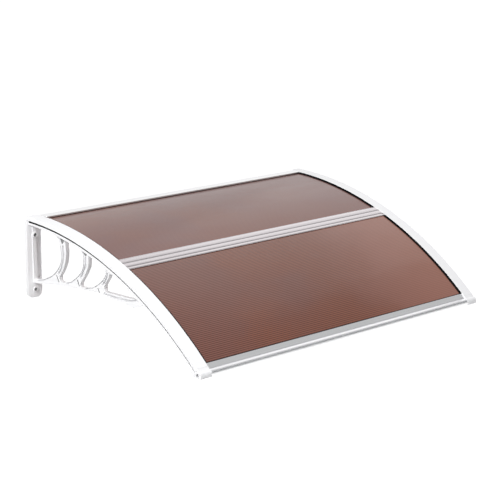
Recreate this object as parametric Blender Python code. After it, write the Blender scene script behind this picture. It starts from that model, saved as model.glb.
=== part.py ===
"""Fixed door canopy: twin-wall polycarbonate sheets in aluminium bars, on two moulded wall brackets.

Metres, +Z up. X runs along the wall, the canopy reaches out towards -Y, and the wall is the plane Y = 0.
The origin is on the wall plane, midway between the brackets, level with the top face of the sheet.
Side outlines are written as (out, up): the distance from the wall, and the height.
Places along the curved sheet are written as (s, h): the length along its top face, counted from the
front edge of the wall bar, and the height above that face.
"""

import math

import bmesh
import bpy
from mathutils import Matrix, Vector
from mathutils.geometry import tessellate_polygon

# Overall sizes and the curve of the sheet
HALF_WIDTH = 0.600
ARC_RADIUS = 1.277
START_SLOPE = math.radians(1.0)
WALL_BAR_DEPTH = 0.0508
FRONT_BAR_START = 0.8423
ARC_STEP = 0.024
FIT = 0.0003
CUT_PAST = 0.002
MERGE = 1e-6
SMOOTH_ANGLE = math.radians(25)
FLAT_ANGLE = math.radians(0.2)

# Sheets
SHEET_THICK = 0.005
SHEET_SKIN = 0.0006
FLUTE_PITCH = 0.0066
FLUTE_WALL = 0.0006
SHEET_SIDE_INSET = 0.014
SHEET_END_GAP = 0.001

# Bracket across the width
PLATE_WIDTH = 0.054
BODY_INSET = 0.020
BODY_THICK = 0.014
WEB_THICK = 0.004
STRIP_INSET = 0.006
STRIP_WIDTH = 0.042

# Bracket in side view
RAIL_DEPTH = 0.026
FLANGE_THICK = 0.004
LIP_TOP = 0.011
LIP_BOTTOM = 0.0205
LIP_THICK = 0.004
INNER_LIP_BOTTOM = 0.014
INNER_LIP_THICK = 0.003
PLATE_DEPTH = 0.013
PLATE_WALL = 0.004
PLATE_SIDE_WALL = 0.0035
PLATE_BOTTOM = 0.210
EAR_BOTTOM = 0.262
EAR_TIP_WIDTH = 0.026
EAR_CORNER_HEIGHT = 0.018
EAR_CORNER_CUT = 0.004
EAR_CORNER_DROP = 0.010
SPINE_PROUD = 0.004
BOLT_HOLE_RADIUS = 0.004
BOLT_BOSS_RADIUS = 0.009
BOLT_BOSS_PROUD = 0.003
BOLT_BOSS_BACK = 0.001
UPPER_BOLT_DOWN = 0.055
LOWER_BOLT_DOWN = 0.235
CROSS_RIB_DOWN = 0.130
CROSS_RIB_HEIGHT = 0.016

# Side cover strips
STRIP_THICK = 0.002
STRIP_SKIRT = 0.0025
SKIRT_BOTTOM = 0.008
SEAL_HEIGHT = 0.0028
STRIP_PAST_FRONT = 0.0130
STRIP_CORNER = 0.0008

# Black rubber seals
SEAL_LIP = 0.0067
SEAL_TIP_HEIGHT = 0.0006
SEAL_WIDTH = 0.0207
WALL_SEAL_THICK = 0.0047
WALL_SEAL_HEIGHT = 0.0034

# Wall bar
WALL_BAR_TOP = 0.0060
WALL_BAR_SKIN = 0.0020
WALL_BAR_FLAT = 0.0248
WALL_BAR_REAR_DROP = 0.0026
WALL_BAR_REAR_FLAT = 0.0020
WALL_BAR_SLOT_BACK = 0.0180
WALL_BAR_BOTTOM = 0.0240
WALL_BAR_BOX_DEPTH = 0.0300
WALL_BAR_SHELF_SHORT = 0.0038
WALL_BAR_CHAMBER_WALL = 0.0022
WALL_PORT_OUT = 0.0225
WALL_PORT_DOWN = 0.0155
WALL_SEAT_BACK = 0.002

# Middle bar
MIDDLE_BAR_CENTRE = 0.4046
MIDDLE_BAR_WIDTH = 0.0572
MIDDLE_BAR_SKIN = 0.0016
MIDDLE_BAR_LOWER_WIDTH = 0.0480
MIDDLE_BAR_WEB = 0.0024
RIDGE_COUNT = 3
RIDGE_WIDTH = 0.0145
RIDGE_HEIGHT = 0.0028
RIDGE_EDGE = 0.0020
RIDGE_STEPS = 8
PORT_LUG = 0.0100
PORT_RADIUS = 0.0023
SPIGOT_LENGTH = 0.0140
SEAT_SET_BACK = 0.0005

# Front bar, measured out and down from the sheet's top face at the bar's rear edge
FRONT_FLANGE_LENGTH = 0.0143
FRONT_SHEET_SLOT = 0.0120
FRONT_SKIN = 0.0016
FRONT_LOWER_FLANGE_BACK = 0.0060
FRONT_BOX_START = 0.0030
FRONT_BOX_DOWN = 0.0290
LEDGE_END_DOWN = 0.0120
NOSE_OUT = 0.0305
NOSE_RADIUS = 0.0040
GROOVE_TOP = 0.0200
GROOVE_BOTTOM = 0.0250
GROOVE_DEPTH = 0.0040
GROOVE_SLOPE = 0.0006
LIP_SET_BACK = 0.0020
LIP_DOWN = 0.0315
FRONT_LIP_THICK = 0.0025
FRONT_SCREW_OUT = 0.0150
FRONT_SCREW_DOWN = 0.0235
FRONT_TUBE_RADIUS = 0.0050
FRONT_TUBE_STEPS = 10
NOSE_CAP = 0.0010
NOSE_ROOT = 0.0120
NOSE_HEEL = 0.0040
NOSE_STEPS = 4

# Screws
SCREW_RADIUS = 0.0020
SCREW_CLEAR = 0.0004
SCREW_IN_BAR = 0.0160
HEAD_RADIUS = 0.0042
HEAD_HEIGHT = 0.0030
HEAD_FLAT_SHARE = 0.7
HEAD_SOCKET_RADIUS = 0.0015
HEAD_SOCKET_DEPTH = 0.0016
COUNTERBORE_RADIUS = 0.0060
COUNTERBORE_DEPTH = 0.0060
ROUND_STEPS = 20

# Derived places
STRIP_OUTER = HALF_WIDTH - STRIP_INSET
STRIP_INNER = STRIP_OUTER - STRIP_WIDTH
BODY_OUTER = HALF_WIDTH - BODY_INSET
BODY_INNER = BODY_OUTER - BODY_THICK
BODY_CENTRE = (BODY_OUTER + BODY_INNER) / 2
PLATE_INNER = HALF_WIDTH - PLATE_WIDTH
BAR_END = STRIP_INNER - FIT
SHEET_HALF = HALF_WIDTH - SHEET_SIDE_INSET
SEAT_TOP = -SHEET_THICK - FIT
FLANGE_MIDDLE = SEAT_TOP - FLANGE_THICK / 2
STRIP_UNDER = FIT + SEAL_HEIGHT + FIT
STRIP_TOP = STRIP_UNDER + STRIP_THICK
SPINE_OUT = PLATE_DEPTH + SPINE_PROUD
EAR_TIP_LOW = BODY_CENTRE - EAR_TIP_WIDTH / 2
EAR_TIP_HIGH = BODY_CENTRE + EAR_TIP_WIDTH / 2
EAR_SHOULDER = -EAR_BOTTOM + EAR_CORNER_HEIGHT

WHITE = ("white_plastic", (0.90, 0.90, 0.92, 1.0), 0.35, 0.0)
BROWN = ("brown_polycarbonate", (0.24, 0.12, 0.09, 1.0), 0.20, 0.0)
ALUMINIUM = ("aluminium", (0.72, 0.70, 0.70, 1.0), 0.35, 1.0)
BLACK = ("black_rubber", (0.01, 0.01, 0.01, 1.0), 0.70, 0.0)
STEEL = ("screw_steel", (0.60, 0.60, 0.62, 1.0), 0.30, 1.0)


def clear_scene():
    for old in list(bpy.data.objects):
        bpy.data.objects.remove(old, do_unlink=True)


def material(spec):
    name, colour, roughness, metallic = spec
    if name in bpy.data.materials:
        return bpy.data.materials[name]
    made = bpy.data.materials.new(name)
    made.use_nodes = True
    shader = made.node_tree.nodes["Principled BSDF"]
    shader.inputs["Base Color"].default_value = colour
    shader.inputs["Roughness"].default_value = roughness
    shader.inputs["Metallic"].default_value = metallic
    return made


def arc_point(s, h):
    """(out, up) of a place on the sheet, whose rear end runs on straight behind the wall bar's front."""
    angle = START_SLOPE + max(s, 0.0) / ARC_RADIUS
    straight = min(s, 0.0)
    out = WALL_BAR_DEPTH + ARC_RADIUS * (math.sin(angle) - math.sin(START_SLOPE))
    up = ARC_RADIUS * (math.cos(angle) - math.cos(START_SLOPE))
    out += straight * math.cos(START_SLOPE) + h * math.sin(angle)
    up += h * math.cos(angle) - straight * math.sin(START_SLOPE)
    return out, up


def s_values(start, end):
    """Evenly spaced places along the sheet, with a short enough step to look round."""
    count = max(1, math.ceil((end - start) / ARC_STEP))
    return [start + (end - start) * i / count for i in range(count + 1)]


def arc_line(start, end, h):
    return [arc_point(s, h) for s in s_values(start, end)]


def s_at_out(out):
    """The place along the curve whose top face is this far from the wall."""
    sine = (out - WALL_BAR_DEPTH) / ARC_RADIUS + math.sin(START_SLOPE)
    return (math.asin(sine) - START_SLOPE) * ARC_RADIUS


def s_at_wall(h):
    """The place on the straight rear part where a point at this height over the sheet meets the wall."""
    return -(WALL_BAR_DEPTH + h * math.sin(START_SLOPE)) / math.cos(START_SLOPE)


def circle(centre, radius, steps=ROUND_STEPS):
    turns = [2 * math.pi * i / steps for i in range(steps)]
    return [(centre[0] + radius * math.cos(a), centre[1] + radius * math.sin(a)) for a in turns]


def arc_between(centre, radius, first, last, steps):
    """Points on a circle from one angle to another, in degrees."""
    angles = [math.radians(first + (last - first) * i / steps) for i in range(steps + 1)]
    return [(centre[0] + radius * math.cos(a), centre[1] + radius * math.sin(a)) for a in angles]


def smooth_line(points, steps=4):
    """A Catmull-Rom curve through the points, which keeps the first and the last."""
    ends = [points[0], *points, points[-1]]
    line = [points[0]]
    for a, b, c, d in zip(ends, ends[1:], ends[2:], ends[3:]):
        for i in range(1, steps + 1):
            t = i / steps
            line.append(tuple(
                0.5 * (2 * q + (r - p) * t + (2 * p - 5 * q + 4 * r - w) * t * t
                       + (3 * q - p - 3 * r + w) * t ** 3)
                for p, q, r, w in zip(a, b, c, d)
            ))
    return line


def stroke(points, width):
    """The outline of a band that follows a line, with square ends."""
    left, right = [], []
    for i, (x, y) in enumerate(points):
        before, after = points[max(i - 1, 0)], points[min(i + 1, len(points) - 1)]
        along = Vector((after[0] - before[0], after[1] - before[1])).normalized()
        left.append((x - along.y * width / 2, y + along.x * width / 2))
        right.append((x + along.y * width / 2, y - along.x * width / 2))
    return left + right[::-1]


def finish(bm, name, spec):
    """Turns a bmesh into an object with outward faces, smooth over its shallow angles."""
    bmesh.ops.recalc_face_normals(bm, faces=bm.faces)
    mesh = bpy.data.meshes.new(name)
    bm.to_mesh(mesh)
    bm.free()
    mesh.shade_smooth()
    mesh.set_sharp_from_angle(angle=SMOOTH_ANGLE)
    made = bpy.data.objects.new(name, mesh)
    mesh.materials.append(material(spec))
    bpy.context.scene.collection.objects.link(made)
    return made


def add_prism(bm, loops, place, low, high):
    """Adds a straight body: the first loop is its outline and the others are holes right through it."""
    flat = [p for loop in loops for p in loop]
    rows = [[bm.verts.new(place(p, end)) for p in flat] for end in (low, high)]
    triangles = tessellate_polygon([[Vector((a, b, 0.0)) for a, b in loop] for loop in loops])
    for row in rows:
        for triangle in triangles:
            bm.faces.new([row[i] for i in triangle])
    first = 0
    for loop in loops:
        for i in range(len(loop)):
            a, b = first + i, first + (i + 1) % len(loop)
            bm.faces.new([rows[0][a], rows[0][b], rows[1][b], rows[1][a]])
        first += len(loop)


def along_x(point, x):
    return x, -point[0], point[1]


def along_y(point, out):
    return point[0], -out, point[1]


def prism(name, spec, loops, low, high, place=along_x):
    bm = bmesh.new()
    add_prism(bm, loops, place, low, high)
    return finish(bm, name, spec)


def sweep(name, spec, section, start, end):
    """A body whose section in (x, h) follows the curve of the sheet."""
    bm = bmesh.new()
    rings = []
    for s in s_values(start, end):
        ring = []
        for x, h in section:
            out, up = arc_point(s, h)
            ring.append(bm.verts.new((x, -out, up)))
        rings.append(ring)
    count = len(section)
    for ring, following in zip(rings, rings[1:]):
        for i in range(count):
            j = (i + 1) % count
            bm.faces.new([ring[i], ring[j], following[j], following[i]])
    triangles = tessellate_polygon([[Vector((x, h, 0.0)) for x, h in section]])
    for ring in (rings[0], rings[-1]):
        for triangle in triangles:
            bm.faces.new([ring[i] for i in triangle])
    return finish(bm, name, spec)


def boolean(target, other, operation):
    """Applies one cut or join to the target, and removes the other shape."""
    step = target.modifiers.new(operation.lower(), "BOOLEAN")
    step.operation = operation
    step.object = other
    step.solver = "EXACT"
    bpy.context.view_layer.update()
    graph = bpy.context.evaluated_depsgraph_get()
    result = bpy.data.meshes.new_from_object(target.evaluated_get(graph))
    target.modifiers.remove(step)
    old = target.data
    target.data = result
    bpy.data.meshes.remove(old)
    bpy.data.objects.remove(other, do_unlink=True)


def tidy(made):
    """Dissolves flat splits that the cuts leave, then shades by angle again."""
    bm = bmesh.new()
    bm.from_mesh(made.data)
    bmesh.ops.remove_doubles(bm, verts=bm.verts, dist=MERGE)
    bmesh.ops.dissolve_limit(bm, angle_limit=FLAT_ANGLE, verts=bm.verts, edges=bm.edges)
    bmesh.ops.triangulate(bm, faces=bm.faces)
    bm.to_mesh(made.data)
    bm.free()
    made.data.shade_smooth()
    made.data.set_sharp_from_angle(angle=SMOOTH_ANGLE)


# Side outlines of the bracket, as (out, depth below the sheet's top face at that place)
FIRST_ARCH = [(0.139, 0.026), (0.155, 0.037), (0.166, 0.067), (0.166, 0.101), (0.152, 0.128),
              (0.128, 0.154), (0.099, 0.173), (0.055, 0.193), (0.018, 0.200)]
SECOND_REAR = [(0.192, 0.027), (0.196, 0.058), (0.195, 0.077), (0.191, 0.098), (0.181, 0.121),
               (0.168, 0.142), (0.158, 0.156), (0.162, 0.167)]
SECOND_FRONT = [(0.162, 0.167), (0.176, 0.168), (0.206, 0.157), (0.234, 0.138), (0.263, 0.110),
                (0.279, 0.087), (0.285, 0.063), (0.283, 0.042), (0.270, 0.027)]
THIRD_REAR = [(0.313, 0.027), (0.313, 0.051), (0.311, 0.066), (0.304, 0.082), (0.291, 0.105),
              (0.276, 0.127), (0.269, 0.139), (0.270, 0.146)]
THIRD_FRONT = [(0.270, 0.146), (0.280, 0.145), (0.306, 0.135), (0.337, 0.117), (0.365, 0.093),
               (0.387, 0.068), (0.398, 0.047), (0.397, 0.028)]
LEAF_REAR = [(0.422, 0.028), (0.418, 0.043), (0.408, 0.062), (0.395, 0.083), (0.391, 0.096),
             (0.396, 0.103)]
LEAF_FRONT = [(0.396, 0.103), (0.405, 0.102), (0.430, 0.093), (0.492, 0.067), (0.530, 0.048),
              (0.560, 0.028)]
LOWER_EDGE = [(0.592, 0.027), (0.570, 0.045), (0.545, 0.066), (0.524, 0.080), (0.492, 0.089),
              (0.444, 0.106), (0.373, 0.125), (0.309, 0.144), (0.240, 0.165), (0.160, 0.184),
              (0.059, 0.207)]

# Recesses in the bracket's faces: the middle lines of the channels with their widths, and the corners
CHANNELS = [
    (0.0115, [(0.180, 0.053), (0.182, 0.075), (0.180, 0.095), (0.172, 0.116), (0.165, 0.132),
              (0.153, 0.147)]),
    (0.0095, [(0.299, 0.045), (0.299, 0.057), (0.298, 0.069), (0.291, 0.085), (0.283, 0.101),
              (0.272, 0.118)]),
    (0.0060, [(0.408, 0.041), (0.403, 0.056), (0.393, 0.072), (0.381, 0.089)]),
    (0.0050, [(0.392, 0.112), (0.430, 0.101), (0.489, 0.077), (0.518, 0.063), (0.545, 0.044),
              (0.560, 0.035)]),
    (0.0050, [(0.143, 0.157), (0.154, 0.173)]),
    (0.0050, [(0.254, 0.133), (0.263, 0.147)]),
    (0.0045, [(0.357, 0.110), (0.365, 0.121)]),
]
CHANNEL_STEPS = 3
CORNERS = [
    [(0.164, 0.030), (0.190, 0.031), (0.176, 0.046)],
    [(0.284, 0.031), (0.307, 0.031), (0.298, 0.039)],
]


def below(points):
    """(out, up) of points that are given by their depth under the sheet."""
    placed = []
    for out, depth in points:
        height = arc_point(s_at_out(out), 0.0)[1] if out > WALL_BAR_DEPTH else 0.0
        placed.append((out, height - depth))
    return placed


def arch_opening(rear, front):
    """A closed opening: its rear side going down, its lower and front side going up."""
    down = smooth_line(below(rear))
    up = smooth_line(below(front))
    return down + up[1:]


def body_loops():
    """The side outline of the bracket's body, with the four openings between its ribs."""
    back = PLATE_DEPTH - PLATE_WALL / 2
    front = FRONT_BAR_START + FRONT_FLANGE_LENGTH / 2
    top = arc_line(back - WALL_BAR_DEPTH, front, FLANGE_MIDDLE)
    under = arc_line(s_at_out(LOWER_EDGE[0][0]), FRONT_BAR_START, -RAIL_DEPTH)[::-1]
    low = smooth_line(below(LOWER_EDGE))
    outline = top + under + low[1:] + [(back, -PLATE_BOTTOM - CUT_PAST)]
    foot = (SPINE_OUT, FIRST_ARCH[-1][1])
    first = [(SPINE_OUT, -RAIL_DEPTH)] + smooth_line(below(FIRST_ARCH[:-1] + [foot]))
    return [
        outline,
        first,
        arch_opening(SECOND_REAR, SECOND_FRONT),
        arch_opening(THIRD_REAR, THIRD_FRONT),
        arch_opening(LEAF_REAR, LEAF_FRONT),
    ]


def recess_cutter(low, high):
    bm = bmesh.new()
    for width, middle in CHANNELS:
        line = smooth_line(below(middle), CHANNEL_STEPS)
        add_prism(bm, [stroke(line, width)], along_x, low, high)
    for corner in CORNERS:
        add_prism(bm, [below(corner)], along_x, low, high)
    return finish(bm, "recess_cutter", WHITE)


def flange_section():
    """The T-shaped top of the bracket in (x, h): the sheet's seat, with a lip turned down on each side."""
    lip_inner = STRIP_OUTER - LIP_THICK
    lip_root = lip_inner - FLANGE_THICK
    under = SEAT_TOP - FLANGE_THICK
    inner_lip = STRIP_INNER + INNER_LIP_THICK
    return [
        (STRIP_INNER, SEAT_TOP), (lip_inner, SEAT_TOP), (lip_inner, -LIP_TOP),
        (STRIP_OUTER, -LIP_TOP), (STRIP_OUTER, -LIP_BOTTOM), (lip_inner, -LIP_BOTTOM),
        (lip_root, -LIP_TOP - FLANGE_THICK), (lip_root, under), (inner_lip, under),
        (inner_lip, -INNER_LIP_BOTTOM), (STRIP_INNER, -INNER_LIP_BOTTOM),
    ]


def plate_outline():
    """The wall plate seen from the front, in (x, up), with its tapered ear and the notch for the wall bar."""
    top = -SKIRT_BOTTOM - FIT
    notch = -WALL_BAR_BOTTOM - FIT
    notch_side = STRIP_INNER + FIT
    corner = EAR_SHOULDER - EAR_CORNER_DROP
    return [
        (PLATE_INNER, notch), (notch_side, notch), (notch_side, top), (HALF_WIDTH, top),
        (HALF_WIDTH, EAR_SHOULDER), (HALF_WIDTH - EAR_CORNER_CUT, corner),
        (EAR_TIP_HIGH, -EAR_BOTTOM), (EAR_TIP_LOW, -EAR_BOTTOM),
        (PLATE_INNER + EAR_CORNER_CUT, corner), (PLATE_INNER, EAR_SHOULDER),
    ]


def tray_loops():
    """The two hollows in the back of the plate, each around a bolt boss, parted by the cross rib."""
    low, high = PLATE_INNER + PLATE_SIDE_WALL, HALF_WIDTH - PLATE_SIDE_WALL
    rib_top = -CROSS_RIB_DOWN + CROSS_RIB_HEIGHT / 2
    rib_bottom = -CROSS_RIB_DOWN - CROSS_RIB_HEIGHT / 2
    roof = -WALL_BAR_BOTTOM - FIT - PLATE_SIDE_WALL
    shoulder = EAR_SHOULDER + PLATE_SIDE_WALL
    tip = -EAR_BOTTOM + PLATE_SIDE_WALL
    upper = [(low, roof), (high, roof), (high, rib_top), (low, rib_top)]
    lower = [(low, rib_bottom), (high, rib_bottom), (high, shoulder), (EAR_TIP_HIGH, tip),
             (EAR_TIP_LOW, tip), (low, shoulder)]
    return [
        [upper, circle((BODY_CENTRE, -UPPER_BOLT_DOWN), BOLT_BOSS_RADIUS)],
        [lower, circle((BODY_CENTRE, -LOWER_BOLT_DOWN), BOLT_BOSS_RADIUS)],
    ]


def front_point(out, down):
    """(out, up) of a place measured from the sheet's top face at the front bar's rear edge."""
    start = arc_point(FRONT_BAR_START, 0.0)
    return start[0] + out, start[1] - down


def nose_outline():
    """The bracket's front end, which caps the end of the front bar and follows its outline."""
    edge = FRONT_BAR_START + FRONT_SHEET_SLOT
    strip_end = FRONT_BAR_START + STRIP_PAST_FRONT + FIT
    ledge_end = front_point(NOSE_OUT - NOSE_RADIUS, LEDGE_END_DOWN)
    nose_centre = (ledge_end[0], ledge_end[1] - NOSE_RADIUS)
    low_front = front_point(NOSE_OUT + NOSE_CAP - NOSE_RADIUS, LIP_DOWN + NOSE_CAP - NOSE_RADIUS)
    return [
        arc_point(FRONT_BAR_START - NOSE_ROOT, FLANGE_MIDDLE),
        arc_point(edge - FIT, FLANGE_MIDDLE),
        arc_point(edge, SEAT_TOP),
        arc_point(edge, STRIP_UNDER - FIT), arc_point(strip_end, STRIP_UNDER - FIT),
        arc_point(strip_end, STRIP_TOP),
        *arc_between(nose_centre, NOSE_RADIUS + NOSE_CAP, 90, 0, NOSE_STEPS),
        *arc_between(low_front, NOSE_RADIUS, 0, -90, NOSE_STEPS),
        front_point(-NOSE_HEEL, LIP_DOWN + NOSE_CAP),
        arc_point(FRONT_BAR_START - NOSE_ROOT, -RAIL_DEPTH + CUT_PAST),
    ]


def join(made, loops, low, high, place=along_x):
    boolean(made, prism("joined", WHITE, loops, low, high, place), "UNION")


def cut(made, loops, low, high, place=along_x):
    boolean(made, prism("cutter", WHITE, loops, low, high, place), "DIFFERENCE")


def bracket_right():
    """The right bracket in one moulding: plate, spine, ribs, rail, flange, bar seats and front end."""
    made = prism("bracket_right", WHITE, body_loops(), BODY_INNER, BODY_OUTER)
    web_low, web_high = BODY_CENTRE - WEB_THICK / 2, BODY_CENTRE + WEB_THICK / 2
    boolean(made, recess_cutter(web_high, BODY_OUTER + CUT_PAST), "DIFFERENCE")
    boolean(made, recess_cutter(BODY_INNER - CUT_PAST, web_low), "DIFFERENCE")

    flange_end = FRONT_BAR_START + FRONT_SHEET_SLOT - FIT
    flange = sweep("flange", WHITE, flange_section(), s_at_wall(-LIP_BOTTOM), flange_end)
    boolean(made, flange, "UNION")
    join(made, [plate_outline()], 0.0, PLATE_DEPTH, along_y)
    join(made, [nose_outline()], STRIP_INNER, BODY_OUTER)

    boss_front = SPINE_OUT + BOLT_BOSS_PROUD
    for down in (UPPER_BOLT_DOWN, LOWER_BOLT_DOWN):
        boss = circle((BODY_CENTRE, -down), BOLT_BOSS_RADIUS)
        join(made, [boss], BOLT_BOSS_BACK, boss_front, along_y)
    for loops in tray_loops():
        cut(made, loops, -CUT_PAST, PLATE_DEPTH - PLATE_WALL, along_y)
    for down in (UPPER_BOLT_DOWN, LOWER_BOLT_DOWN):
        hole = circle((BODY_CENTRE, -down), BOLT_HOLE_RADIUS)
        cut(made, [hole], -CUT_PAST, boss_front + CUT_PAST, along_y)

    seat_face = STRIP_INNER + SEAT_SET_BACK
    for outline, spigot in ((wall_seat(), wall_port()), (middle_seat(), middle_port())):
        join(made, [outline], seat_face, BODY_INNER + CUT_PAST)
        peg = circle(spigot, PORT_RADIUS - FIT)
        join(made, [peg], STRIP_INNER - SPIGOT_LENGTH, seat_face + CUT_PAST)

    shank = circle(front_port(), SCREW_RADIUS + SCREW_CLEAR)
    cut(made, [shank], STRIP_INNER - CUT_PAST, BODY_OUTER + CUT_PAST)
    bore = circle(front_port(), COUNTERBORE_RADIUS)
    cut(made, [bore], BODY_OUTER - COUNTERBORE_DEPTH, BODY_OUTER + CUT_PAST)
    tidy(made)
    return made


def mirrored(source, name):
    """A copy on the other side of the middle plane, with its own turned-round mesh."""
    bm = bmesh.new()
    bm.from_mesh(source.data)
    bmesh.ops.transform(bm, matrix=Matrix.Scale(-1.0, 4, Vector((1.0, 0.0, 0.0))), verts=bm.verts)
    bmesh.ops.reverse_faces(bm, faces=bm.faces)
    mesh = bpy.data.meshes.new(name)
    bm.to_mesh(mesh)
    bm.free()
    mesh.shade_smooth()
    mesh.set_sharp_from_angle(angle=SMOOTH_ANGLE)
    mesh.materials.append(source.data.materials[0])
    made = bpy.data.objects.new(name, mesh)
    bpy.context.scene.collection.objects.link(made)
    return made


def wall_port():
    return WALL_PORT_OUT, -WALL_PORT_DOWN


def middle_port():
    return arc_point(MIDDLE_BAR_CENTRE, SEAT_TOP - MIDDLE_BAR_SKIN - PORT_LUG / 2)


def front_port():
    return front_point(FRONT_SCREW_OUT, FRONT_SCREW_DOWN)


def wall_seat():
    """The block on the bracket that the end of the wall bar butts against."""
    low, high = -WALL_BAR_BOTTOM, FLANGE_MIDDLE
    back, front = WALL_SEAT_BACK, WALL_BAR_BOX_DEPTH
    return [(back, low), (back, high), (front, high), (front, low)]


def middle_seat():
    """The block on the bracket that the end of the middle bar butts against."""
    first, last = MIDDLE_BAR_CENTRE - PORT_LUG, MIDDLE_BAR_CENTRE + PORT_LUG
    top = FLANGE_MIDDLE
    bottom = SEAT_TOP - MIDDLE_BAR_SKIN - PORT_LUG
    corners = [(first, top), (last, top), (last, bottom), (first, bottom)]
    return [arc_point(s, h) for s, h in corners]


def sheet(name, start, end):
    """One twin-wall sheet, with its open flutes running across the canopy."""
    outline = arc_line(start, end, 0.0) + arc_line(start, end, -SHEET_THICK)[::-1]
    count = int((end - start - FLUTE_WALL) / FLUTE_PITCH)
    spare = (end - start - count * FLUTE_PITCH) / 2
    floor, roof = -SHEET_THICK + SHEET_SKIN, -SHEET_SKIN
    loops = [outline]
    for i in range(count):
        rear = start + spare + i * FLUTE_PITCH + FLUTE_WALL / 2
        front = rear + FLUTE_PITCH - FLUTE_WALL
        corners = [(rear, roof), (front, roof), (front, floor), (rear, floor)]
        loops.append([arc_point(s, h) for s, h in corners])
    return prism(name, BROWN, loops, -SHEET_HALF, SHEET_HALF)


def wall_bar():
    """The extrusion on the wall: back, sloped top, slot for the sheet, and a box with the spigot port."""
    top, bottom = WALL_BAR_TOP, -WALL_BAR_BOTTOM
    ceiling = top - WALL_BAR_SKIN
    rear = top - WALL_BAR_REAR_DROP
    shelf, shelf_end = SEAT_TOP - WALL_BAR_SKIN, WALL_BAR_DEPTH - WALL_BAR_SHELF_SHORT
    outline = [
        (WALL_BAR_DEPTH, ceiling), (WALL_BAR_DEPTH, top), (WALL_BAR_DEPTH - WALL_BAR_FLAT, top),
        (WALL_BAR_REAR_FLAT, rear), (0.0, rear), (0.0, bottom), (WALL_BAR_BOX_DEPTH, bottom),
        (WALL_BAR_BOX_DEPTH, shelf), (shelf_end, shelf), (shelf_end, SEAT_TOP),
        (WALL_BAR_SLOT_BACK, SEAT_TOP), (WALL_BAR_SLOT_BACK, ceiling),
    ]
    wall = WALL_BAR_CHAMBER_WALL
    chamber_front = WALL_BAR_SLOT_BACK - wall
    chamber = [(wall, rear - wall), (chamber_front, rear - wall), (chamber_front, bottom + wall),
               (wall, bottom + wall)]
    port = circle(wall_port(), PORT_RADIUS)
    return prism("wall_bar", ALUMINIUM, [outline, chamber, port], -BAR_END, BAR_END)


def middle_bar():
    """The H-shaped joining bar, with three round ridges on its top flange and a port lug below."""
    half, low_half = MIDDLE_BAR_WIDTH / 2, MIDDLE_BAR_LOWER_WIDTH / 2
    centre, skin = MIDDLE_BAR_CENTRE, MIDDLE_BAR_SKIN
    base = FIT + skin
    groove = (MIDDLE_BAR_WIDTH - 2 * RIDGE_EDGE - RIDGE_COUNT * RIDGE_WIDTH) / (RIDGE_COUNT - 1)
    section = [(centre - half, FIT), (centre - half, base)]
    for i in range(RIDGE_COUNT):
        middle = centre - half + RIDGE_EDGE + RIDGE_WIDTH / 2 + i * (RIDGE_WIDTH + groove)
        for k in range(RIDGE_STEPS + 1):
            turn = math.pi * (1 - k / RIDGE_STEPS)
            across = RIDGE_WIDTH / 2 * math.cos(turn)
            section.append((middle + across, base + RIDGE_HEIGHT * math.sin(turn)))
    web, lug = MIDDLE_BAR_WEB / 2, PORT_LUG / 2
    under = SEAT_TOP - skin
    section += [
        (centre + half, base), (centre + half, FIT), (centre + web, FIT), (centre + web, SEAT_TOP),
        (centre + low_half, SEAT_TOP), (centre + low_half, under), (centre + lug, under),
        (centre + lug, under - PORT_LUG), (centre - lug, under - PORT_LUG), (centre - lug, under),
        (centre - low_half, under), (centre - low_half, SEAT_TOP), (centre - web, SEAT_TOP),
        (centre - web, FIT),
    ]
    loops = [[arc_point(s, h) for s, h in section], circle(middle_port(), PORT_RADIUS)]
    return prism("middle_bar", ALUMINIUM, loops, -BAR_END, BAR_END)


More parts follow.
